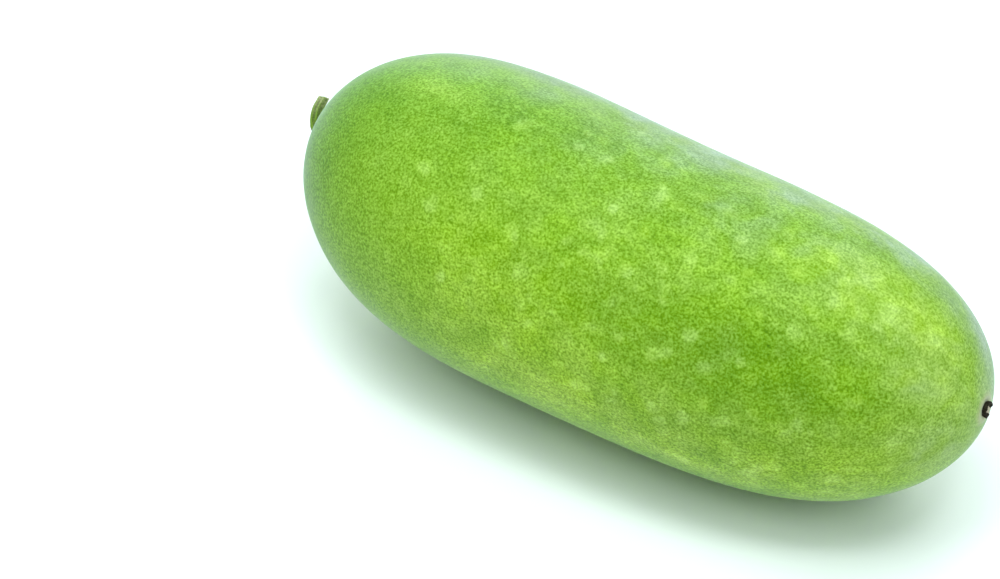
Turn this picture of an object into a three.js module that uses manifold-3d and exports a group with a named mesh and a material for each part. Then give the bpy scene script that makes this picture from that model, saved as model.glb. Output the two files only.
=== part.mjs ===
// A wax gourd as picked: one long green fruit that lies on its side, with the cut stub of its
// stem at one end and the dried remnant of its blossom at the other.
// Millimetres, +Z up. +X points along the fruit to its blossom end, and both ends bend to +Y.
// The origin is at the bottom centre of the whole part's box.

import * as THREE from 'three';
import { mergeVertices } from 'three/addons/utils/BufferGeometryUtils.js';
import Module from 'manifold-3d';

const wasm = await Module();
wasm.setup();

// Fruit. It is a ball stretched to this length, whose section at each place along it is widened
// by a sum of powers of that place, from -1 at the stem to 1 at the blossom. The terms fill out
// the shoulders, and the stem half a little more than the other.
const fruitLength = 300;
const fruitRadius = 62;
const shoulderTerms = [1, -0.075, 0.49, 0.05, -0.225];
const endBend = 7.5; // how far the ends bend sideways from the middle, on average
const bendSkew = 4; // the blossom end bends this much more than that, the stem end less
const axisDrop = 5; // how much lower the blossom end lies than the middle
const dimpleDepth = 3.5; // the hollow around the stem
const dimpleWidth = 11;
const footDepth = 1.2; // how much the underside is flattened where the fruit rests
const fruitSides = 64;
const fruitRings = 44;

// Cut stem: a ribbed stub, wider where it meets the fruit, that bends sideways and up. Its route
// starts inside the fruit and is counted from the stem end of the fruit's axis.
const stemRadius = 2.1;
const stemFlare = 2.6; // extra radius at the root
const flareReach = 0.26; // share of the stem's length over which the flare fades
const stemRibs = 5;
const ribDepth = 0.24;
const stemRoute = [[7, 0, 0], [0, 0, 0], [-5, 1.5, 1], [-7.4, 6.2, 4.2], [-7.7, 12.2, 7.8]];
const stemSides = 30;
const stemSteps = 16;

// Blossom remnant: a small dried cup, a little above the fruit's tip.
const remnantRadius = 3.4;
const remnantHeight = 1.5;
const remnantRim = 0.8;
const remnantHollow = 0.9;
const remnantRise = 6.5; // above the fruit's axis
const remnantSide = -1; // beside it
const remnantSides = 24;

const clearance = 0.3; // between pieces that touch

// A sum of the shoulder terms at a place from -1 to 1 along the fruit.
function fullnessAt(place) {
  return shoulderTerms.reduce((sum, term, power) => sum + term * place ** power, 0);
}

// The middle of the fruit's section at such a place.
function middleAt(place) {
  const side = endBend * place ** 2 + bendSkew * place ** 3;
  return new THREE.Vector3((place * fruitLength) / 2, side, -axisDrop * place);
}

// The point of the skin that a point of a unit ball, whose axis is X, is moved to.
function skinPoint(ball, grow = 0) {
  const point = middleAt(ball.x);
  const radius = fruitRadius * fullnessAt(ball.x) + grow;
  const across = radius * Math.hypot(ball.y, ball.z);
  const dimple = ball.x < 0 ? dimpleDepth * Math.exp(-((across / dimpleWidth) ** 2)) : 0;
  return point.add(new THREE.Vector3(dimple + grow * ball.x, radius * ball.y, radius * ball.z));
}

function mapPoints(geometry, move) {
  const points = geometry.attributes.position;
  for (let i = 0; i < points.count; i += 1) {
    const moved = move(new THREE.Vector3().fromBufferAttribute(points, i));
    points.setXYZ(i, moved.x, moved.y, moved.z);
  }
  return geometry;
}

function fruitGeometry(grow = 0) {
  const ball = new THREE.SphereGeometry(1, fruitSides, fruitRings).rotateZ(Math.PI / 2);
  return mapPoints(ball, (point) => skinPoint(point, grow));
}

// A unit cylinder's sections are pushed out into ribs and a flared root, then laid on the route.
function stemGeometry() {
  const pole = middleAt(-1);
  const route = new THREE.CatmullRomCurve3(
    stemRoute.map(([x, y, z]) => new THREE.Vector3(x, y, z).add(pole)),
  );
  const frames = route.computeFrenetFrames(stemSteps, false);
  const cylinder = new THREE.CylinderGeometry(1, 1, 1, stemSides, stemSteps);
  return mapPoints(cylinder, (point) => {
    const along = point.y + 0.5;
    const step = Math.round(along * stemSteps);
    const angle = Math.atan2(point.z, point.x);
    const flare = stemFlare * Math.exp(-((along / flareReach) ** 2));
    const radius = stemRadius + flare + ribDepth * Math.cos(stemRibs * angle);
    return route.getPointAt(along)
      .addScaledVector(frames.normals[step], radius * point.x)
      .addScaledVector(frames.binormals[step], -radius * point.z);
  });
}

// The cup's axis is the skin's normal where it sits.
function remnantGeometry() {
  const profile = [
    [0, 0],
    [remnantRadius * 0.85, 0],
    [remnantRadius, remnantHeight * 0.45],
    [remnantRadius * 0.9, remnantHeight],
    [remnantRadius - remnantRim, remnantHeight],
    [remnantRadius * 0.45, remnantHeight - remnantHollow],
    [0, remnantHeight - remnantHollow],
  ];
  const tipRadius = fruitRadius * fullnessAt(1);
  const ballPoint = (side, rise) => new THREE.Vector3(tipRadius, side, rise).normalize();
  const seat = skinPoint(ballPoint(remnantSide, remnantRise));
  const sideways = skinPoint(ballPoint(remnantSide + 1, remnantRise)).sub(seat);
  const upwards = skinPoint(ballPoint(remnantSide, remnantRise + 1)).sub(seat);
  const outward = sideways.cross(upwards).normalize();
  const turn = new THREE.Quaternion().setFromUnitVectors(new THREE.Vector3(0, 1, 0), outward);
  seat.addScaledVector(outward, clearance);
  return new THREE.LatheGeometry(profile.map(([x, y]) => new THREE.Vector2(x, y)), remnantSides)
    .applyQuaternion(turn)
    .translate(seat.x, seat.y, seat.z);
}

function toSolid(geometry) {
  const bare = geometry.clone();
  bare.deleteAttribute('normal');
  bare.deleteAttribute('uv');
  const merged = mergeVertices(bare);
  return new wasm.Manifold(new wasm.Mesh({
    numProp: 3,
    vertProperties: Float32Array.from(merged.attributes.position.array),
    triVerts: Uint32Array.from(merged.index.array),
  }));
}

function toGeometry(solid) {
  const mesh = solid.getMesh();
  const geometry = new THREE.BufferGeometry();
  geometry.setAttribute('position', new THREE.BufferAttribute(mesh.vertProperties, 3));
  geometry.setIndex(new THREE.BufferAttribute(mesh.triVerts, 1));
  geometry.computeVertexNormals();
  return geometry;
}

// The ground lies a little above the round fruit's lowest point, which leaves it a flat foot.
function restingFruitGeometry() {
  const roundFruit = fruitGeometry();
  roundFruit.computeBoundingBox();
  const ground = roundFruit.boundingBox.min.z + footDepth;
  const below = new THREE.BoxGeometry(2 * fruitLength, fruitLength, fruitLength);
  below.translate(0, 0, ground - fruitLength / 2);
  return toGeometry(toSolid(roundFruit).subtract(toSolid(below)));
}

function trimmedStemGeometry() {
  return toGeometry(toSolid(stemGeometry()).subtract(toSolid(fruitGeometry(clearance))));
}

function namedMesh(name, geometry, color, roughness) {
  const material = new THREE.MeshStandardMaterial({ color, roughness, metalness: 0 });
  const mesh = new THREE.Mesh(geometry, material);
  mesh.name = name;
  return mesh;
}

const gourd = new THREE.Group();
gourd.add(namedMesh('fruit', restingFruitGeometry(), 0x8cc152, 0.45));
gourd.add(namedMesh('stem', trimmedStemGeometry(), 0x6b7d3a, 0.7));
gourd.add(namedMesh('blossom_remnant', remnantGeometry(), 0x33291f, 0.9));

const box = new THREE.Box3().setFromObject(gourd);
gourd.position.set(-(box.min.x + box.max.x) / 2, -(box.min.y + box.max.y) / 2, -box.min.z);

export default gourd;
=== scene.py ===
"""A wax gourd as picked, lying on its side: the waxy green fruit, the cut stub of its stem and the
dried remnant of its blossom. Run as a script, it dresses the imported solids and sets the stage.

Lengths are in metres. +X points to the blossom end, and the ground is at z = 0.
"""

import math
import random

import bmesh
import bpy
from bpy.props import FloatProperty, FloatVectorProperty, IntProperty, PointerProperty
from mathutils import Matrix, Vector, geometry, kdtree, noise


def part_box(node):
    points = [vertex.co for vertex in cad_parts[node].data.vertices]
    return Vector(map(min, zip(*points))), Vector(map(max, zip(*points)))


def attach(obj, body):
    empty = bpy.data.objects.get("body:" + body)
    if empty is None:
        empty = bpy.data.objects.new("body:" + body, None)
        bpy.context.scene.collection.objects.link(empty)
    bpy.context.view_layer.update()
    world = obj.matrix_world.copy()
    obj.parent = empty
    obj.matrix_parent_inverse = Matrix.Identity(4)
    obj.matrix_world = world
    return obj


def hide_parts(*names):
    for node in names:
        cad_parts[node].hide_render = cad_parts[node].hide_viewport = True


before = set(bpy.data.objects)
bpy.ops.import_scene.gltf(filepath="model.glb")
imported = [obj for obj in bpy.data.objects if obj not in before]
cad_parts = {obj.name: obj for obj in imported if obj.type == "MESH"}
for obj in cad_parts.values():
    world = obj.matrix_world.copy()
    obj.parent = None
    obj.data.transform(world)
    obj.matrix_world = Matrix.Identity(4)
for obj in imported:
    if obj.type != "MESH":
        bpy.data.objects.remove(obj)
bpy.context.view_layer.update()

bl_info = {
    "name": "Wax Gourd",
    "version": (1, 0, 0),
    "blender": (4, 5, 0),
    "location": "3D View > Sidebar > Wax Gourd",
    "description": "Models a wax gourd with its stem stub and blossom remnant",
    "category": "Object",
}

MM = 0.001
BODY = "root"
AXIS_STEPS = 50  # from the middle of the fruit's axis to either end, where its reach is measured

# How the fruit's outline is fuller than an ellipse, as powers of the place from -1 to 1 along it.
SHOULDER_TERMS = (1, -0.075, 0.49, 0.05, -0.225)
# The stem's middle line, in millimetres from the stem end of the fruit's axis.
STEM_ROUTE = ((7, 0, 0), (0, 0, 0), (-5, 1.5, 1), (-7.4, 6.2, 4.2), (-7.7, 12.2, 7.8))
ROUTE_STEPS = 16  # between two points of that line

# Broad, soft areas of another green: its layer, place along the fruit from its middle in
# millimetres, place around it in degrees from the top to the front, half length, half width and
# strength. Some are partly painted shade and painted light, as noted above them.
DRIFTS = (
    # Deep green over the stem end: partly the shoulder's own darker skin, partly painted shade.
    ("deep", -140, 35, 32, 90, 0.9),
    ("deep", -70, 12, 45, 18, 0.4),
    # Deep green along the top and back: partly the fruit's own deeper green, partly painted shade
    # that tones down the brightly lit top.
    ("deep", 0, -15, 220, 32, 0.8),
    ("deep", 25, 55, 14, 12, 0.35),
    ("deep", 72, 52, 40, 20, 0.55),
    ("deep", 20, -110, 60, 30, 0.5),
    ("deep", 122, 22, 22, 2.2, 0.9),
    ("deep", 141, 31, 6, 5, 0.4),
    ("pale", 30, 30, 60, 20, 0.12),
    ("pale", -88, 4, 16, 7, 0.3),
    ("pale", 60, -32, 22, 8, 0.8),
    # Pale green over the upper blossom end: partly paler skin, partly a painted highlight.
    ("pale", 115, 5, 38, 18, 0.95),
    ("pale", 129, 36, 10, 6, 0.85),
    ("pale", 136, 85, 20, 14, 0.5),
    ("pale", -60, -75, 40, 18, 0.5),
    # Ground green along the lower front: partly paler skin, partly painted light on the lower
    # side. The last one, underneath, is the pale spot where the fruit lay.
    ("ground", -40, 60, 35, 22, 0.35),
    ("ground", -5, 92, 45, 26, 0.9),
    ("ground", 50, 105, 30, 15, 0.5),
    ("ground", 110, 100, 40, 22, 0.75),
    ("ground", 0, 175, 110, 45, 0.8),
    ("wax", 30, 0, 60, 15, 0.3),
    ("wax", 60, -28, 25, 9, 0.5),
    ("wax", 100, 8, 35, 14, 0.15),
    # Wax over the blossom end: partly real bloom, partly painted sheen.
    ("wax", 129, 36, 7, 5, 0.5),
    ("wax", 142, 85, 14, 12, 0.4),
    ("wax", 135, -45, 22, 16, 0.5),
)
# Pale flecks on the front: place along, place around, and radius in millimetres.
FLECKS = (
    (-73, 36, 4), (-63, 46, 4.5), (-50, 69, 3.5), (-47, 36, 3.5), (-45, 5, 4), (-28, 43, 4.5),
    (-23, -4, 2.5), (-22, 4, 3), (-19, 55, 3.5), (-19, 86, 4.5), (-10, 72, 3.5), (-8, 3, 3.5),
    (-6, 38, 3), (-3, 45, 3.5), (4, 20, 2.5), (4, 82, 3.5), (5, 30, 3), (10, -7, 2.5),
    (12, 63, 3.5), (12, 88, 4.5), (15, 3, 3), (20, 24, 3), (20, 39, 3.5), (22, 71, 2.5),
    (26, 62, 3.5), (28, 82, 4), (31, 1, 3), (32, 33, 3.5), (37, 43, 3), (40, 26, 3.5), (41, 62, 4),
    (42, 2, 3.5), (48, 88, 4), (51, 51, 3.5), (52, 12, 3), (57, 82, 4), (57, 108, 5), (61, 22, 3),
    (63, 72, 4), (66, 0, 3.5), (66, 10, 4.5), (72, 34, 3), (72, 53, 2.5), (72, 78, 4),
    (75, 90, 4.5), (76, 14, 3.5), (82, 71, 4), (83, 103, 5), (84, 0, 5), (89, 26, 3), (92, 8, 3.5),
    (92, 94, 4), (97, 70, 4), (100, 106, 4), (110, 8, 6), (113, 56, 4), (113, 98, 4.5),
    (127, 5, 6),
)
# Scattered flecks underneath and at the back: their range along, around and of radius.
HIDDEN_FLECKS = ((-130, 140), (120, 325), (3, 6))
FLECK_SEED = 4
# A fleck is a soft middle, whose size and strength are given, and smaller lobes beside it, whose
# sizes and strengths are drawn. Sizes and the lobes' spread are shares of the fleck's radius.
FLECK_MIDDLE = (0.7, 0.9)
FLECK_LOBES = 3
LOBE_SPREAD = 0.5
LOBE_SIZES = (0.35, 0.6)
LOBE_STRENGTHS = (0.4, 0.9)
LOBE_REACH = 2.5  # sizes of a lobe from its centre, past which it no longer counts
# The coat of wax comes in from the top to the back, and wears off towards the underside.
# It is partly real bloom and partly painted sheen along the top rim.
COAT_BACK = (0, 0.6)
COAT_UNDER = (0.1, 0.9)

# The fruit's slow unevenness: how far apart its broad and its narrow lumps are, the narrow ones'
# share of the height, and how far the skin is drawn in to leave room for them.
BROAD_LUMPS = 70 * MM
NARROW_LUMPS = 19 * MM
NARROW_SHARE = 0.25
LUMP_INSET = 0.2 * MM
# The folds around the stem: how many, how unevenly they are spread, and their depth. They are
# deepest at one distance from the axis, and fade over another.
FOLDS = 7
FOLD_UNEVENNESS = 1.3
FOLD_DEPTH = 0.5 * MM
FOLD_RADIUS = 10 * MM
FOLD_FADE = 9 * MM

# The scar under the blossom remnant: a pit inside a low ring.
PIT_RADIUS = 3 * MM
PIT_DEPTH = 0.5 * MM
RING_RADIUS = 5 * MM
RING_WIDTH = 1.6 * MM
RING_HEIGHT = 0.25 * MM

FOOT_SOFTNESS = 0.3 * MM  # over which the skin turns into the flat foot

# Sizes of the patterns on the rind.
DRIFT_SIZE = 17 * MM
HUE_SIZE = 16 * MM
GLOSS_SIZE = 14 * MM
SPOT_SPACING = 8.5 * MM
SPOT_RADIUS = 4.4 * MM
SPOT_SHAKE = 5 * MM
MOTTLE_SIZE = 8 * MM
RAGGED_SIZE = 4 * MM
CORK_SIZE = 2 * MM
THREAD_SIZE = 1.7 * MM
GRAIN_SIZE = 0.95 * MM
# What these patterns multiply the skin's colour by, where they are darkest and palest.
MOTTLE_TINTS = ((0.86, 0.9, 0.72), (1.15, 1.11, 1.3))
HUE_TINTS = ((0.95, 0.985, 0.62), (1.04, 1.01, 1.35))
GRAIN_TINTS = ((0.42, 0.54, 0.6), (1.58, 1.46, 1.4))
# Places along the fruit: up to the first the skin is nearly plain, from the second fully marked,
# and from the third under the thickest wax.
PLAIN_END = -120 * MM
MARKED_START = 10 * MM
THICK_WAX_START = 100 * MM
ROUGHNESS_SWING = 0.07  # either side of the average
# The corky skin around the scar: where it starts to fade and where it ends, and how ragged it is.
CORK_RADII = (5.5 * MM, 9.5 * MM)
CORK_RAGGEDNESS = 2.4 * MM

# The stem's ribs and the finer ridges between them: how far each wander around it, in radians,
# and the shares of the ribs' height that the ridges and the roughness have.
RIB_WANDER = 0.35
RIDGE_WANDER = 0.21
RIDGES_PER_RIB = 4
RIDGE_SHARE = 0.3
ROUGH_SHARE = 0.25
DRY_START = 0.6  # place along the stem from which it dries towards the cut
# Rings of the cut end, from its edge inwards: width as a share of the radius, and step up or down
# in millimetres. The last surrounds the sunken pith.
END_RINGS = ((0.07, -0.1), (0.05, -0.2), (0.26, 0.16), (0.2, -0.1), (0.14, -0.4))
END_ROUGHNESS = 0.12 * MM

# The blossom remnant: how far its base is sunk into the skin, steps between two corners of its
# section, and the direction and width of the gap in its rim.
CUP_SUNK = 0.6 * MM
CUP_STEPS = 4
GAP_DIRECTION = math.radians(-52)
GAP_WIDTH = math.radians(30)
# The radius of its bare middle as a share of its own, and how much more that is in the gap.
BARE_SHARE = 0.4
BARE_IN_GAP = 0.7
# Its crumpling: even lobes and uneven ones, both as shares of the radius, how far the torn rim
# stands up and down, how much lower it is in the gap, and its fine roughness.
CUP_LOBES = 5
CUP_LOBE_DEPTH = 0.07
CRUMPLE_DEPTH = 0.1
CRUMPLE_SIZE = 1.4 * MM
TEAR_HEIGHT = 0.55 * MM
TEAR_QUICKNESS = 2.2
GAP_DROP = 0.75
FINE_HEIGHT = 0.12 * MM
FINE_SIZE = 0.6 * MM
MERGE_DISTANCE = 0.01 * MM

# Soft square lights: name, direction in degrees clockwise from straight behind the fruit as the
# camera sees it, elevation in degrees, side in metres, and power in watts.
LIGHTS = (
    ("key", 270, 82, 0.65, 10.3),
    ("left", 270, 48, 1.15, 11.4),
    ("right", 45, 48, 1.15, 6.3),
    ("front", 135, 48, 1.15, 10.7),
    ("top", 135, 76, 0.32, 4.9),
    ("backdrop", 0, 25, 1.15, 17.6),
)
FLOOR_SIDES = 96
SENSOR_WIDTH = 36  # of the camera, in millimetres


def size(name, description, default):
    return FloatProperty(name=name, description=description, default=default, precision=5,
                         subtype="DISTANCE", unit="LENGTH")


def colour(name, description, default):
    return FloatVectorProperty(name=name, description=description, default=default,
                               subtype="COLOR", min=0, max=1)


def share(name, description, default, maximum=1.0):
    return FloatProperty(name=name, description=description, default=default, min=0, max=maximum)


def angle(name, description, degrees):
    return FloatProperty(name=name, description=description, default=math.radians(degrees),
                         subtype="ANGLE", unit="ROTATION")


class FruitSettings(bpy.types.PropertyGroup):
    length: size("Length", "Length of the fruit's axis", 300 * MM)
    radius: size("Radius", "Radius at the middle of the fruit", 62 * MM)
    end_bend: size("End bend", "How far the ends bend sideways, on average", 7.5 * MM)
    bend_skew: size("Bend skew", "How much more the blossom end bends than that", 4 * MM)
    axis_drop: size("Axis drop", "How much lower the blossom end lies than the middle", 5 * MM)
    dimple_depth: size("Dimple depth", "Depth of the hollow around the stem", 3.5 * MM)
    dimple_width: size("Dimple width", "Radius of the hollow around the stem", 11 * MM)
    foot_depth: size("Foot depth", "How much the underside is flattened", 1.2 * MM)
    lump_height: size("Lump height", "Height of the fruit's slow unevenness", 0.45 * MM)
    sides: IntProperty(name="Sides", description="Faces around the fruit", default=320, min=24)
    rings: IntProperty(name="Rings", description="Faces along the fruit", default=300, min=24)
    hidden_flecks: IntProperty(name="Hidden flecks", default=80, min=0,
                               description="Pale flecks underneath and at the back")
    fresh_green: colour("Fresh green", "Most of the skin", (0.22, 0.4, 0.022))
    # Deep green also serves as painted shade along the top and back and over the stem end.
    deep_green: colour("Deep green", "Darkest areas, as on the stem end", (0.135, 0.285, 0.012))
    # Pale green is partly a painted highlight over the upper blossom end.
    pale_green: colour("Pale green", "Palest areas, as on the blossom end", (0.35, 0.53, 0.055))
    # Paler skin of the side that lay near the ground, and partly painted light on the lower front.
    ground_and_light_green: colour("Ground green", "Side that lay near the ground", (0.34, 0.535, 0.03))
    # The coat's greyish blue is partly real bloom and partly painted sheen.
    wax_sheen_green: colour("Wax green", "Skin under its greyish coat of wax", (0.27, 0.38, 0.145))
    thin_wax_sheen: colour("Thin wax", "Such skin near the stem, where the coat is thin",
                     (0.2, 0.285, 0.108))
    fleck_light: colour("Fleck light", "What the pale flecks add to the skin",
                        (0.14, 0.165, 0.055))
    cork: colour("Cork", "Corky skin around the blossom remnant", (0.5, 0.5, 0.27))
    roughness: share("Roughness", "Average roughness of the waxy skin", 0.5)


class StemSettings(bpy.types.PropertyGroup):
    radius: size("Radius", "Radius of the cut end", 2.1 * MM)
    flare: size("Flare", "Extra radius at the root", 2.6 * MM)
    flare_reach: share("Flare reach", "Share of the length over which the root narrows", 0.26)
    ribs: IntProperty(name="Ribs", description="Ribs around the stem", default=5, min=0)
    rib_depth: size("Rib depth", "Height of a rib over the mean radius", 0.24 * MM)
    slant: share("Slant", "How much the cut end is aslant", 0.25)
    sides: IntProperty(name="Sides", description="Faces around the stem", default=96, min=12)
    side_green: colour("Side", "Skin of the stem", (0.17, 0.295, 0.02))
    # Painted shade at the bottom of the grooves.
    groove_shade_green: colour("Groove", "Bottom of the grooves", (0.04, 0.07, 0.008))
    fibre_green: colour("Fibres", "Paler fibres in the skin", (0.27, 0.37, 0.05))
    pith_green: colour("Pith", "Dark pith between the bundles of the cut", (0.16, 0.17, 0.07))
    cut_face: colour("Cut face", "Dried end where the stem was cut", (0.46, 0.45, 0.25))


class RemnantSettings(bpy.types.PropertyGroup):
    radius: size("Radius", "Outer radius of the dried cup", 3.4 * MM)
    height: size("Height", "Height of the cup's rim over the skin", 1.5 * MM)
    rim: size("Rim", "Thickness of the rim", 0.8 * MM)
    hollow: size("Hollow", "Depth of the cup", 0.9 * MM)
    rise: size("Rise", "Height of the cup over the fruit's axis", 6.5 * MM)
    side: size("Side", "Distance of the cup beside the fruit's axis", -1 * MM)
    sides: IntProperty(name="Sides", description="Faces around the cup", default=96, min=12)
    dark_brown: colour("Dark brown", "Dried flower parts", (0.012, 0.009, 0.005))
    light_brown: colour("Light brown", "Paler mottling of those", (0.055, 0.04, 0.022))
    dry_tan: colour("Dry tan", "Bare middle of the cup", (0.55, 0.46, 0.34))


class StageSettings(bpy.types.PropertyGroup):
    azimuth: angle("Azimuth", "Turn of the camera from looking along +Y", 32.07)
    elevation: angle("Elevation", "Height of the camera over the horizon", 45)
    distance: size("Distance", "Distance from the camera to its aim", 880 * MM)
    aim_x: size("Aim X", "Point that the camera looks at", -34.9 * MM)
    aim_y: size("Aim Y", "Point that the camera looks at", -33.0 * MM)
    aim_z: size("Aim Z", "Point that the camera looks at", 62 * MM)
    lens: FloatProperty(name="Lens", description="Focal length", default=80, unit="CAMERA")
    floor_radius: size("Floor radius", "Radius of the pale floor", 4.0)
    floor_colour: colour("Floor colour", "Pale grey of the floor", (0.9, 0.9, 0.9))
    sky: share("Sky", "Brightness of the surroundings", 0.13, maximum=10)
    sky_colour: colour("Sky colour", "Bluish white of the surroundings", (0.65, 0.88, 1.0))
    light_distance: size("Light distance", "Distance of the soft lights", 1.6)
    light_colour: colour("Light colour", "Cool white of the lights", (0.88, 1.0, 1.0))


class GourdSettings(bpy.types.PropertyGroup):
    fruit: PointerProperty(type=FruitSettings)
    stem: PointerProperty(type=StemSettings)
    remnant: PointerProperty(type=RemnantSettings)
    stage: PointerProperty(type=StageSettings)


# Shapes


def fullness_at(place):
    """How many times as wide as its ellipse the fruit is, at a place from -1 to 1 along it."""
    return sum(term * place**power for power, term in enumerate(SHOULDER_TERMS))


def smooth_step(value, low, high):
    """0 below low, 1 above high, and smooth between them."""
    share_of = min(1, max(0, (value - low) / (high - low)))
    return share_of * share_of * (3 - 2 * share_of)


def side_bend(fruit, place):
    return fruit.end_bend * place**2 + fruit.bend_skew * place**3


def section_radius(fruit, place):
    return fruit.radius * fullness_at(place) * math.sqrt(max(0, 1 - place**2))


def axis_origin(fruit):
    """Where the middle of the fruit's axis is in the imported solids' frame."""
    low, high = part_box("fruit")
    places = [step / AXIS_STEPS for step in range(-AXIS_STEPS, AXIS_STEPS + 1)]
    bends = [side_bend(fruit, place) for place in places]
    radii = [section_radius(fruit, place) for place in places]
    outer = max(bend + radius for bend, radius in zip(bends, radii))
    inner = min(bend - radius for bend, radius in zip(bends, radii))
    lowest = min(-fruit.axis_drop * place - radius for place, radius in zip(places, radii))
    return Vector((
        high.x - fruit.length / 2,
        (low.y + high.y) / 2 - (outer + inner) / 2,
        low.z - lowest - fruit.foot_depth,
    ))


def middle_at(fruit, place):
    """The middle of the fruit's section at such a place."""
    offset = Vector((place * fruit.length / 2, side_bend(fruit, place), -fruit.axis_drop * place))
    return axis_origin(fruit) + offset


def skin_point(fruit, ball, origin):
    """Where a point of a unit ball, whose axis is X, is moved to on the smooth skin."""
    radius = fruit.radius * fullness_at(ball.x)
    across = radius * math.hypot(ball.y, ball.z)
    dimple = 0
    if ball.x < 0:
        dimple = fruit.dimple_depth * math.exp(-((across / fruit.dimple_width) ** 2))
    return origin + Vector((
        ball.x * fruit.length / 2 + dimple,
        side_bend(fruit, ball.x) + radius * ball.y,
        -fruit.axis_drop * ball.x + radius * ball.z,
    ))


def remnant_seat(fruit, remnant):
    """The point of the skin under the blossom remnant, and the skin's normal there."""
    origin = axis_origin(fruit)
    tip_radius = fruit.radius * fullness_at(1)

    def on_skin(side, rise):
        return skin_point(fruit, Vector((tip_radius, side, rise)).normalized(), origin)

    seat = on_skin(remnant.side, remnant.rise)
    sideways = on_skin(remnant.side + MM, remnant.rise) - seat
    upwards = on_skin(remnant.side, remnant.rise + MM) - seat
    return seat, sideways.cross(upwards).normalized()


def finished_object(name, bm, material, node):
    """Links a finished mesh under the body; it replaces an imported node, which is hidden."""
    mesh = bpy.data.meshes.new(name)
    bm.normal_update()
    bm.to_mesh(mesh)
    bm.free()
    for face in mesh.polygons:
        face.use_smooth = True
    mesh.materials.append(material)
    made = bpy.data.objects.new(name, mesh)
    bpy.context.scene.collection.objects.link(made)
    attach(made, BODY)
    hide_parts(node)


# Materials


class Graph:
    """A material's nodes, added by short calls. A value may be a number, a colour or a socket."""

    def __init__(self, name):
        self.material = bpy.data.materials.new(name)
        self.material.use_nodes = True
        self.tree = self.material.node_tree
        self.tree.nodes.clear()
        self.place = self.add("ShaderNodeTexCoord").outputs["Object"]

    def add(self, kind, inputs=None, **settings):
        made = self.tree.nodes.new(kind)
        for name, value in settings.items():
            setattr(made, name, value)
        for key, value in (inputs or {}).items():
            if isinstance(value, bpy.types.NodeSocket):
                self.tree.links.new(value, made.inputs[key])
            else:
                made.inputs[key].default_value = value
        return made

    def math(self, operation, *values):
        made = self.add("ShaderNodeMath", dict(enumerate(values)), operation=operation)
        return made.outputs[0]

    def noise(self, spacing, detail, roughness=0.5, distortion=0.0, vector=None):
        """Noise from 0 to 1 whose bumps are about this far apart."""
        inputs = {"Vector": vector or self.place, "Scale": 1 / spacing, "Detail": detail,
                  "Roughness": roughness, "Distortion": distortion}
        return self.add("ShaderNodeTexNoise", inputs).outputs["Fac"]

    def drawn_out(self, length):
        """Coordinates that follow the fruit from end to end, where patterns are longer."""
        grown = self.add("ShaderNodeAttribute", attribute_name="lengthwise").outputs["Vector"]
        inputs = {"Vector": grown, "Scale": (1 / length, 1, 1)}
        return self.add("ShaderNodeMapping", inputs).outputs["Vector"]

    def shaken(self, amount, spacing):
        """Coordinates that noise moves about, which makes the outline of a pattern ragged."""
        inputs = {"Vector": self.place, "Scale": 1 / spacing, "Detail": 2.0}
        push = self.add("ShaderNodeTexNoise", inputs).outputs["Color"]
        inputs = {0: push, 1: (amount, amount, amount), 2: self.place}
        made = self.add("ShaderNodeVectorMath", inputs, operation="MULTIPLY_ADD")
        return made.outputs["Vector"]

    def spots(self, spacing, radius, vector):
        """Soft spots around scattered points, each with a strength of its own."""
        inputs = {"Vector": vector, "Scale": 1 / spacing}
        cells = self.add("ShaderNodeTexVoronoi", inputs)
        chance = self.add("ShaderNodeSeparateColor", {"Color": cells.outputs["Color"]})
        near = self.ramp(cells.outputs["Distance"], 0.3 * radius / spacing, radius / spacing,
                         to_low=1, to_high=0)
        strength = self.ramp(chance.outputs["Red"], 0.1, 1.0, to_low=0.1)
        return self.math("MULTIPLY", near, strength)

    def ramp(self, value, low, high, to_low=0.0, to_high=1.0):
        """Value's range from low to high, taken smoothly to another range."""
        inputs = {"Value": value, "From Min": low, "From Max": high,
                  "To Min": to_low, "To Max": to_high}
        made = self.add("ShaderNodeMapRange", inputs, interpolation_type="SMOOTHSTEP")
        return made.outputs["Result"]

    def mix(self, factor, first, second, blend="MIX", **settings):
        first, second = (v if isinstance(v, bpy.types.NodeSocket) else (*v, 1)[:4]
                         for v in (first, second))
        inputs = {0: factor, 6: first, 7: second}
        made = self.add("ShaderNodeMix", inputs, data_type="RGBA", blend_type=blend, **settings)
        return made.outputs[2]

    def distance(self, point):
        inputs = {0: self.place, 1: point}
        made = self.add("ShaderNodeVectorMath", inputs, operation="DISTANCE")
        return made.outputs["Value"]

    def attribute(self, name):
        return self.add("ShaderNodeAttribute", attribute_name=name).outputs["Fac"]

    def bump(self, height, distance, strength):
        inputs = {"Height": height, "Distance": distance, "Strength": strength}
        return self.add("ShaderNodeBump", inputs).outputs["Normal"]

    def finish(self, inputs):
        shader = self.add("ShaderNodeBsdfPrincipled", inputs)
        self.add("ShaderNodeOutputMaterial", {"Surface": shader.outputs["BSDF"]})
        return self.material


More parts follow.
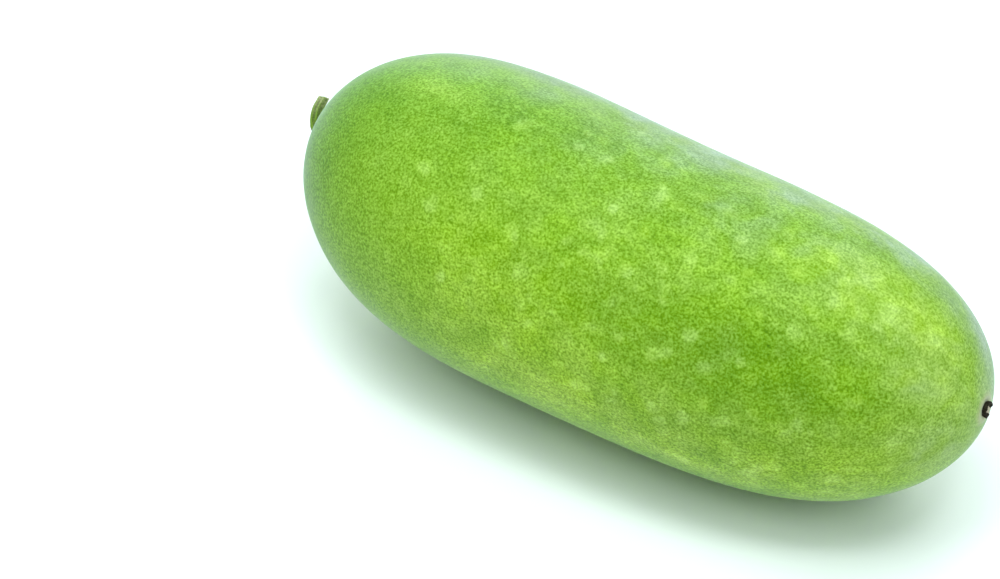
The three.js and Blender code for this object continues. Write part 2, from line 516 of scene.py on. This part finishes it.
def rind_material(settings):
    """Waxy rind: greens that drift, partly painted light and shade, pale flecks, a greyish coat of
    wax with painted sheen, blotches and fine grain.
    """
    fruit = settings.fruit
    seat, _ = remnant_seat(fruit, settings.remnant)
    graph = Graph("waxy_rind")

    # Broad areas of other greens, whose strength drifts; some are partly painted shade and light.
    drifting = graph.ramp(graph.noise(DRIFT_SIZE, detail=3, roughness=0.6), 0.3, 0.7,
                          to_low=0.65, to_high=1.35)
    skin = fruit.fresh_green[:]
    for layer, tone in (("deep", fruit.deep_green), ("pale", fruit.pale_green),
                        ("ground", fruit.ground_and_light_green)):
        amount = graph.math("MULTIPLY", graph.attribute(layer), drifting)
        skin = graph.mix(amount, skin, tone[:])

    # Pale flecks with ragged outlines, and fainter spots between them.
    ragged = graph.noise(RAGGED_SIZE, detail=3, roughness=0.65)
    ragged = graph.math("MULTIPLY", ragged, 1.2)
    flecks = graph.math("ADD", graph.attribute("fleck"), ragged)
    flecks = graph.ramp(flecks, 0.72, 1.5, to_high=0.7)
    along = graph.add("ShaderNodeSeparateXYZ", {"Vector": graph.place}).outputs["X"]
    marked = graph.ramp(along, PLAIN_END, MARKED_START, to_low=0.15)
    spots = graph.spots(SPOT_SPACING, SPOT_RADIUS, graph.shaken(SPOT_SHAKE, RAGGED_SIZE))
    spots = graph.math("MULTIPLY", spots, graph.math("MULTIPLY", marked, 0.5))
    flecks = graph.math("MAXIMUM", flecks, spots)
    skin = graph.mix(flecks, skin, fruit.fleck_light[:], "ADD")

    # The coat of wax: partly real bloom, partly painted sheen along the top and back.
    coat = graph.math("MULTIPLY", graph.attribute("wax"), drifting)
    thickness = graph.ramp(along, PLAIN_END, THICK_WAX_START)
    waxy = graph.mix(thickness, fruit.thin_wax_sheen[:], fruit.wax_sheen_green[:])
    skin = graph.mix(coat, skin, waxy)

    # Blotches, drawn out along the fruit, and slow changes of hue.
    mottle = graph.noise(MOTTLE_SIZE, detail=3, roughness=0.6, distortion=0.3,
                         vector=graph.drawn_out(1.8))
    tint = graph.mix(graph.ramp(mottle, 0.3, 0.7), *MOTTLE_TINTS)
    skin = graph.mix(marked, skin, tint, "MULTIPLY")
    hue = graph.noise(HUE_SIZE, detail=2, roughness=0.6, distortion=0.3)
    tint = graph.mix(graph.ramp(hue, 0.35, 0.65), *HUE_TINTS)
    skin = graph.mix(marked, skin, tint, "MULTIPLY")

    # A fine grain with paler threads, weaker where the skin is pale or waxy.
    winding = graph.noise(THREAD_SIZE, detail=0, distortion=0.9)
    from_thread = graph.math("ABSOLUTE", graph.math("SUBTRACT", winding, 0.5))
    threads = graph.ramp(from_thread, 0.0, 0.1, to_low=1.0, to_high=0.0)
    grain = graph.noise(GRAIN_SIZE, detail=1)
    grain = graph.math("ADD", grain, graph.math("MULTIPLY", threads, 0.1))
    tone = graph.ramp(grain, 0.14, 0.94)
    shade = graph.mix(tone, *GRAIN_TINTS)
    evenness = graph.math("ADD", graph.attribute("pale"), graph.attribute("wax"))
    evenness = graph.math("ADD", evenness, flecks)
    amount = graph.ramp(evenness, 0, 1, to_low=1.0, to_high=0.7)
    skin = graph.mix(amount, skin, shade, "MULTIPLY")
    blue = graph.math("MULTIPLY_ADD", tone, 0.06, -0.03)
    blue = graph.add("ShaderNodeCombineXYZ", {"Z": blue}).outputs["Vector"]
    skin = graph.mix(1.0, skin, blue, "ADD", clamp_result=True)

    # Cork around the blossom remnant.
    ragged = graph.math("MULTIPLY", graph.noise(CORK_SIZE, detail=2), CORK_RAGGEDNESS)
    from_scar = graph.math("ADD", graph.distance(seat), ragged)
    corky = graph.ramp(from_scar, *CORK_RADII, to_low=0.85, to_high=0.0)
    skin = graph.mix(corky, skin, fruit.cork[:])

    rough = graph.ramp(graph.noise(GLOSS_SIZE, detail=3, roughness=0.6), 0.3, 0.7,
                       to_low=fruit.roughness - ROUGHNESS_SWING,
                       to_high=fruit.roughness + ROUGHNESS_SWING)
    relief = graph.bump(grain, distance=0.3 * MM, strength=0.3)
    return graph.finish({
        "Base Color": skin, "Roughness": rough, "Normal": relief, "IOR": 1.45,
        "Specular IOR Level": 0.12, "Sheen Weight": 0.32, "Sheen Roughness": 0.4,
        "Sheen Tint": (0.75, 0.85, 1.0, 1),
    })


def stem_material(settings):
    """Green, ribbed stalk skin with painted shade in its grooves, and a dried, fibrous cut face.
    """
    stem = settings.stem
    graph = Graph("stalk_skin")
    fibres = graph.ramp(graph.noise(0.9 * MM, detail=3, roughness=0.6), 0.35, 0.7)
    # Painted shade darkens the bottoms of the grooves.
    side = graph.mix(graph.attribute("groove"), stem.side_green[:], stem.groove_shade_green[:])
    side = graph.mix(graph.math("MULTIPLY", fibres, 0.4), side, stem.fibre_green[:])
    dryness = graph.ramp(fibres, 0, 1, to_low=0.35, to_high=0.8)
    dry = graph.math("MULTIPLY", graph.attribute("dry"), dryness)
    side = graph.mix(dry, side, stem.cut_face[:])
    bundles = graph.ramp(graph.noise(0.55 * MM, detail=2), 0.42, 0.6)
    face = graph.mix(bundles, stem.pith_green[:], stem.cut_face[:])
    skin = graph.mix(graph.attribute("cut"), side, face)
    fine = graph.noise(0.6 * MM, detail=3, roughness=0.6)
    relief = graph.bump(fine, distance=0.3 * MM, strength=0.6)
    return graph.finish({"Base Color": skin, "Roughness": 0.72, "Normal": relief,
                         "Specular IOR Level": 0.25})


def remnant_material(settings):
    """Brittle dried petals, nearly black, with a bare tan middle."""
    remnant = settings.remnant
    graph = Graph("dried_petal")
    mottle = graph.ramp(graph.noise(0.7 * MM, detail=3, roughness=0.6), 0.4, 0.75)
    dark = graph.mix(mottle, remnant.dark_brown[:], remnant.light_brown[:])
    skin = graph.mix(graph.attribute("bare"), dark, remnant.dry_tan[:])
    fine = graph.noise(0.5 * MM, detail=3, roughness=0.6)
    relief = graph.bump(fine, distance=0.25 * MM, strength=0.7)
    return graph.finish({"Base Color": skin, "Roughness": 0.85, "Normal": relief,
                         "Specular IOR Level": 0.2})


def floor_material(stage):
    graph = Graph("pale_floor")
    return graph.finish({"Base Color": (*stage.floor_colour, 1), "Roughness": 0.9,
                         "Specular IOR Level": 0.0})


# Operators


class WAXGOURD_OT_fruit(bpy.types.Operator):
    """Model the fruit: a bent, blunt body with a hollow around the stem and a flat foot"""

    bl_idname = "wax_gourd.fruit"
    bl_label = "Fruit"

    def execute(self, context):
        settings = context.scene.wax_gourd
        fruit = settings.fruit
        origin = axis_origin(fruit)
        seat, _ = remnant_seat(fruit, settings.remnant)
        bm = bmesh.new()
        layers = {name: bm.verts.layers.float.new(name)
                  for name in ("deep", "pale", "ground", "wax", "fleck")}
        lengthwise = bm.verts.layers.float_vector.new("lengthwise")
        bmesh.ops.create_uvsphere(bm, u_segments=fruit.sides, v_segments=fruit.rings, radius=1,
                                  matrix=Matrix.Rotation(math.pi / 2, 4, "Y"))
        for vertex in bm.verts:
            ball = vertex.co.copy()
            point = skin_point(fruit, ball, origin)
            lift = self.lumps(point, fruit) + self.creases(ball, fruit) + self.scar(point, seat)
            vertex.co = point + ball * lift
            vertex.co.z = self.resting_height(vertex.co.z)
            around = Vector((0, ball.y, ball.z)).normalized() * fruit.radius
            vertex[lengthwise] = around + Vector((ball.x * fruit.length / 2, 0, 0))
            self.paint_drifts(vertex, ball, layers, fruit)
        self.paint_flecks(bm, layers["fleck"], fruit, origin)
        finished_object("gourd_fruit", bm, rind_material(settings), "fruit")
        return {"FINISHED"}

    @staticmethod
    def paint_drifts(vertex, ball, layers, fruit):
        """Adds up the broad areas, some painted light and shade, and the coat of wax, with painted
        sheen, that covers the back.
        """
        around = math.degrees(math.atan2(-ball.y, ball.z))
        radius = fruit.radius * fullness_at(ball.x) * math.hypot(ball.y, ball.z)
        for layer, along, middle, length, width, strength in DRIFTS:
            ahead = (ball.x * fruit.length / 2 - along * MM) / (length * MM)
            turn = (around - middle + 180) % 360 - 180
            beside = math.radians(turn) * radius / (width * MM)
            vertex[layers[layer]] += strength * math.exp(-ahead**2 - beside**2)
        coat = smooth_step(ball.y, *COAT_BACK) * (1 - smooth_step(-ball.z, *COAT_UNDER))
        vertex[layers["wax"]] = min(1, vertex[layers["wax"]] + coat)

    @staticmethod
    def paint_flecks(bm, layer, fruit, origin):
        """Pale flecks at their places on the front, and scattered ones over the rest."""
        scatter = random.Random(FLECK_SEED)
        hidden = [[scatter.uniform(*limits) for limits in HIDDEN_FLECKS]
                  for _ in range(fruit.hidden_flecks)]
        tree = kdtree.KDTree(len(bm.verts))
        for index, vertex in enumerate(bm.verts):
            tree.insert(vertex.co, index)
        tree.balance()
        bm.verts.ensure_lookup_table()
        for along, around, radius in (*FLECKS, *hidden):
            place = along * MM / (fruit.length / 2)
            turn = math.radians(around)
            across = math.sqrt(1 - place**2)
            ball = Vector((place, -across * math.sin(turn), across * math.cos(turn)))
            centre = skin_point(fruit, ball, origin)
            middle_share, middle_strength = FLECK_MIDDLE
            lobes = [(Vector((0, 0, 0)), middle_share * radius * MM, middle_strength)]
            for _ in range(FLECK_LOBES):
                spread = LOBE_SPREAD * radius * MM
                aside = Vector([scatter.gauss(0, spread) for _ in range(3)])
                lobe = radius * MM * scatter.uniform(*LOBE_SIZES)
                lobes.append((aside, lobe, scatter.uniform(*LOBE_STRENGTHS)))
            for aside, lobe, strength in lobes:
                for _, index, distance in tree.find_range(centre + aside, LOBE_REACH * lobe):
                    vertex = bm.verts[index]
                    added = strength * math.exp(-((distance / lobe) ** 2))
                    vertex[layer] = min(1, vertex[layer] + added)

    @staticmethod
    def lumps(point, fruit):
        """Slow unevenness of a grown fruit."""
        broad = noise.noise(point / BROAD_LUMPS)
        narrow = noise.noise(point / NARROW_LUMPS)
        return fruit.lump_height * (broad + NARROW_SHARE * narrow) - LUMP_INSET

    @staticmethod
    def creases(ball, fruit):
        """Shallow folds that run from the stem's root over the shoulder."""
        if ball.x > 0:
            return 0
        across = fruit.radius * fullness_at(-1) * math.hypot(ball.y, ball.z)
        around = math.atan2(ball.z, ball.y)
        wave = math.cos(FOLDS * around + FOLD_UNEVENNESS * math.sin(2 * around))
        fold = (0.5 + 0.5 * wave) ** 3
        return -FOLD_DEPTH * fold * math.exp(-(((across - FOLD_RADIUS) / FOLD_FADE) ** 2))

    @staticmethod
    def scar(point, seat):
        """A shallow pit under the blossom remnant, inside a low corky ring."""
        distance = (point - seat).length
        pit = math.exp(-((distance / PIT_RADIUS) ** 2))
        ring = math.exp(-(((distance - RING_RADIUS) / RING_WIDTH) ** 2))
        return RING_HEIGHT * ring - PIT_DEPTH * pit

    @staticmethod
    def resting_height(z):
        """The underside flattens softly where it meets the ground."""
        return 0.5 * (z + math.hypot(z, FOOT_SOFTNESS))


class WAXGOURD_OT_stem(bpy.types.Operator):
    """Model the stem stub: ribbed, flared at the root, and cut off"""

    bl_idname = "wax_gourd.stem"
    bl_label = "Stem"

    def execute(self, context):
        settings = context.scene.wax_gourd
        stem = settings.stem
        route = self.route(middle_at(settings.fruit, -1))
        bm = bmesh.new()
        layers = {name: bm.verts.layers.float.new(name)
                  for name in ("groove", "dry", "cut", "sink")}
        bmesh.ops.create_cone(bm, cap_ends=True, cap_tris=False, segments=stem.sides, radius1=1,
                              radius2=1, depth=1, matrix=Matrix.Translation((0, 0, 0.5)))
        lengthwise = [e for e in bm.edges if abs(e.verts[0].co.z - e.verts[1].co.z) > 0.5]
        end_face = max(bm.faces, key=lambda face: face.calc_center_median().z)
        self.cut_end(bm, end_face, layers)
        bmesh.ops.subdivide_edges(bm, edges=lengthwise, cuts=len(route) - 2, use_grid_fill=True)
        for vertex in bm.verts:
            along = vertex.co.z
            around = math.atan2(vertex.co.y, vertex.co.x)
            radius, depth = self.section(stem, along, around)
            across = Vector((radius * vertex.co.x, radius * vertex.co.y, 0))
            last_fifth = max(0, 5 * along - 4)
            across.z = stem.slant * across.y * last_fifth + vertex[layers["sink"]]
            # How deep in a groove, where the material paints shade.
            vertex[layers["groove"]] = depth
            vertex[layers["dry"]] = smooth_step(along, DRY_START, 1)
            vertex.co = route[round(along * (len(route) - 1))] @ across
        bmesh.ops.recalc_face_normals(bm, faces=bm.faces)
        finished_object("gourd_stem", bm, stem_material(settings), "stem")
        return {"FINISHED"}

    @staticmethod
    def route(pole):
        """Frames along the stem's middle line, with Z along it."""
        knots = [pole + Vector(point) * MM for point in STEM_ROUTE]
        padded = [2 * knots[0] - knots[1], *knots, 2 * knots[-1] - knots[-2]]
        points = []
        for before, start, end, after in zip(padded, padded[1:], padded[2:], padded[3:]):
            handles = start + (end - before) / 6, end - (after - start) / 6
            points += geometry.interpolate_bezier(start, *handles, end, ROUTE_STEPS)[:-1]
        points.append(knots[-1])
        frames = []
        side = Vector((0, 0, 1))
        for index, point in enumerate(points):
            ahead = points[min(index + 1, len(points) - 1)]
            behind = points[max(index - 1, 0)]
            along = (ahead - behind).normalized()
            side = (side - along * side.dot(along)).normalized()
            turn = Matrix((side, along.cross(side), along)).transposed().to_4x4()
            frames.append(Matrix.Translation(point) @ turn)
        return frames

    @staticmethod
    def section(stem, along, around):
        """The stem's radius, and how deep in a groove that place is, from 0 to 1."""
        flare = stem.flare * math.exp(-((along / stem.flare_reach) ** 2))
        wander = noise.noise(Vector((3 * along, math.cos(around), math.sin(around))))
        rib = math.cos(stem.ribs * (around + RIB_WANDER * wander))
        ridge = math.cos(RIDGES_PER_RIB * stem.ribs * (around + RIDGE_WANDER * wander))
        rough = noise.noise(Vector((14 * along, 3 * math.cos(around), 3 * math.sin(around))))
        relief = rib + RIDGE_SHARE * ridge + ROUGH_SHARE * rough
        radius = stem.radius + flare + stem.rib_depth * relief
        depth = min(1, max(0, 0.5 - 0.45 * rib - 0.25 * ridge))
        return radius, depth

    @staticmethod
    def cut_end(bm, face, layers):
        """Insets the end face into a skin edge, a ring of fibres and a sunken pith."""
        sink = 0
        for width, step in END_RINGS:
            bmesh.ops.inset_region(bm, faces=[face], thickness=width, use_even_offset=True)
            sink += step * MM
            inner = list(face.verts)
            for vertex in inner:
                vertex[layers["cut"]] = 1.0
                vertex[layers["sink"]] = sink + END_ROUGHNESS * noise.noise(vertex.co * 5)
        middle = bmesh.ops.poke(bm, faces=[face])["verts"][0]
        for layer in layers.values():
            middle[layer] = inner[0][layer]


class WAXGOURD_OT_remnant(bpy.types.Operator):
    """Model the blossom remnant: a crumpled, dried cup with torn edges"""

    bl_idname = "wax_gourd.remnant"
    bl_label = "Blossom remnant"

    def execute(self, context):
        settings = context.scene.wax_gourd
        remnant = settings.remnant
        seat, outward = remnant_seat(settings.fruit, remnant)
        place = Matrix.Translation(seat) @ outward.to_track_quat("Z", "Y").to_matrix().to_4x4()
        bm = bmesh.new()
        bare = bm.verts.layers.float.new("bare")
        outline = self.profile(remnant)
        verts = [bm.verts.new((radius, 0, height)) for radius, height in outline]
        edges = [bm.edges.new(pair) for pair in zip(verts, verts[1:])]
        bmesh.ops.spin(bm, geom=verts + edges, cent=(0, 0, 0), axis=(0, 0, 1),
                       angle=2 * math.pi, steps=remnant.sides, use_merge=True)
        bmesh.ops.remove_doubles(bm, verts=bm.verts, dist=MERGE_DISTANCE)
        for vertex in bm.verts:
            distance = math.hypot(vertex.co.x, vertex.co.y)
            open_side = self.openness(vertex.co)
            reach = remnant.radius * (BARE_SHARE + BARE_IN_GAP * open_side)
            vertex[bare] = 1.0 if distance < reach and vertex.co.z > 0 else 0.0
            vertex.co = self.crumpled(vertex.co, remnant, open_side)
        bm.transform(place)
        bmesh.ops.recalc_face_normals(bm, faces=bm.faces)
        finished_object("blossom_cup", bm, remnant_material(settings), "blossom_remnant")
        return {"FINISHED"}

    @staticmethod
    def profile(remnant):
        """The cup's section from the middle of its base, over the rim, to its bare middle."""
        radius, height = remnant.radius, remnant.height
        floor = height - remnant.hollow
        corners = [(0, -CUP_SUNK), (radius * 0.8, -CUP_SUNK), (radius * 0.95, height * 0.3),
                   (radius * 0.97, height * 0.8), (radius * 0.85, height),
                   (radius - remnant.rim, height * 0.92), (radius * 0.6, floor + 0.15 * MM),
                   (radius * 0.4, floor), (0, floor + 0.1 * MM)]
        points = [corners[0]]
        for (r0, z0), (r1, z1) in zip(corners, corners[1:]):
            points += [(r0 + (r1 - r0) * step / CUP_STEPS, z0 + (z1 - z0) * step / CUP_STEPS)
                       for step in range(1, CUP_STEPS + 1)]
        return points

    @staticmethod
    def openness(point):
        """How near a place is to the gap where the cup's rim has broken away, from 0 to 1."""
        around = math.atan2(point.y, point.x)
        turn = (around - GAP_DIRECTION + math.pi) % (2 * math.pi) - math.pi
        return math.exp(-((turn / GAP_WIDTH) ** 2))

    @staticmethod
    def crumpled(point, remnant, open_side):
        """Where a point of the round cup is moved to by its shrinking and tearing."""
        around = math.atan2(point.y, point.x)
        out = math.hypot(point.x, point.y) / remnant.radius
        high = max(0, point.z / remnant.height)
        lobes = CUP_LOBE_DEPTH * math.cos(CUP_LOBES * around)
        lobes += CRUMPLE_DEPTH * noise.noise(point / CRUMPLE_SIZE)
        # The third number only picks a layer of the noise.
        tear = noise.noise(Vector((
            TEAR_QUICKNESS * math.cos(around), TEAR_QUICKNESS * math.sin(around), 7)))
        moved = Vector(point)
        moved.x *= 1 + lobes * out
        moved.y *= 1 + lobes * out
        moved.z += TEAR_HEIGHT * tear * high * out
        moved.z -= GAP_DROP * moved.z * open_side * min(1, high)
        moved.z += FINE_HEIGHT * noise.noise(point / FINE_SIZE)
        return moved


class WAXGOURD_OT_stage(bpy.types.Operator):
    """Set the pale floor, the soft light and the camera"""

    bl_idname = "wax_gourd.stage"
    bl_label = "Stage"

    def execute(self, context):
        stage = context.scene.wax_gourd.stage
        self.floor(stage)
        self.sky(stage)
        self.lights(stage)
        self.camera(stage)
        context.scene.view_settings.view_transform = "Standard"
        return {"FINISHED"}

    @staticmethod
    def floor(stage):
        bm = bmesh.new()
        bmesh.ops.create_circle(bm, cap_ends=True, segments=FLOOR_SIDES,
                                radius=stage.floor_radius)
        mesh = bpy.data.meshes.new("floor")
        bm.to_mesh(mesh)
        bm.free()
        mesh.materials.append(floor_material(stage))
        made = bpy.data.objects.new("floor", mesh)
        bpy.context.scene.collection.objects.link(made)

    @staticmethod
    def sky(stage):
        world = bpy.data.worlds.new("soft_sky")
        world.use_nodes = True
        background = world.node_tree.nodes["Background"]
        background.inputs["Color"].default_value = (*stage.sky_colour, 1)
        background.inputs["Strength"].default_value = stage.sky
        bpy.context.scene.world = world

    @staticmethod
    def lights(stage):
        for name, azimuth, elevation, side, power in LIGHTS:
            light = bpy.data.lights.new(name, "AREA")
            light.shape = "SQUARE"
            light.size = side
            light.energy = power
            light.color = stage.light_colour
            made = bpy.data.objects.new(name, light)
            turn = stage.azimuth - math.radians(azimuth)
            flat = math.cos(math.radians(elevation))
            made.location = stage.light_distance * Vector((
                -math.sin(turn) * flat, math.cos(turn) * flat, math.sin(math.radians(elevation))))
            made.rotation_euler = (-made.location).to_track_quat("-Z", "Y").to_euler()
            made.visible_camera = False
            bpy.context.scene.collection.objects.link(made)

    @staticmethod
    def camera(stage):
        data = bpy.data.cameras.new("camera")
        data.lens = stage.lens
        data.sensor_width = SENSOR_WIDTH
        made = bpy.data.objects.new("camera", data)
        flat = math.cos(stage.elevation)
        back = Vector((math.sin(stage.azimuth) * flat, -math.cos(stage.azimuth) * flat,
                       math.sin(stage.elevation)))
        made.location = Vector((stage.aim_x, stage.aim_y, stage.aim_z)) + back * stage.distance
        made.rotation_euler = (-back).to_track_quat("-Z", "Y").to_euler()
        bpy.context.scene.collection.objects.link(made)
        bpy.context.scene.camera = made


class WAXGOURD_PT_panel(bpy.types.Panel):
    """Lists the gourd's pieces and their sizes"""

    bl_label = "Wax Gourd"
    bl_idname = "WAXGOURD_PT_panel"
    bl_space_type = "VIEW_3D"
    bl_region_type = "UI"
    bl_category = "Wax Gourd"

    def draw(self, context):
        settings = context.scene.wax_gourd
        for operator, group in zip(OPERATORS, (settings.fruit, settings.stem, settings.remnant,
                                               settings.stage)):
            box = self.layout.box()
            box.operator(operator.bl_idname)
            for name in group.__annotations__:
                box.prop(group, name)


SETTINGS = (FruitSettings, StemSettings, RemnantSettings, StageSettings, GourdSettings)
OPERATORS = (WAXGOURD_OT_fruit, WAXGOURD_OT_stem, WAXGOURD_OT_remnant, WAXGOURD_OT_stage)
CLASSES = (*SETTINGS, *OPERATORS, WAXGOURD_PT_panel)


def register():
    for cls in CLASSES:
        bpy.utils.register_class(cls)
    bpy.types.Scene.wax_gourd = PointerProperty(type=GourdSettings)


def unregister():
    del bpy.types.Scene.wax_gourd
    for cls in reversed(CLASSES):
        bpy.utils.unregister_class(cls)


def main():
    register()
    bpy.ops.wax_gourd.fruit()
    bpy.ops.wax_gourd.stem()
    bpy.ops.wax_gourd.remnant()
    bpy.ops.wax_gourd.stage()


if __name__ == "__main__":
    main()
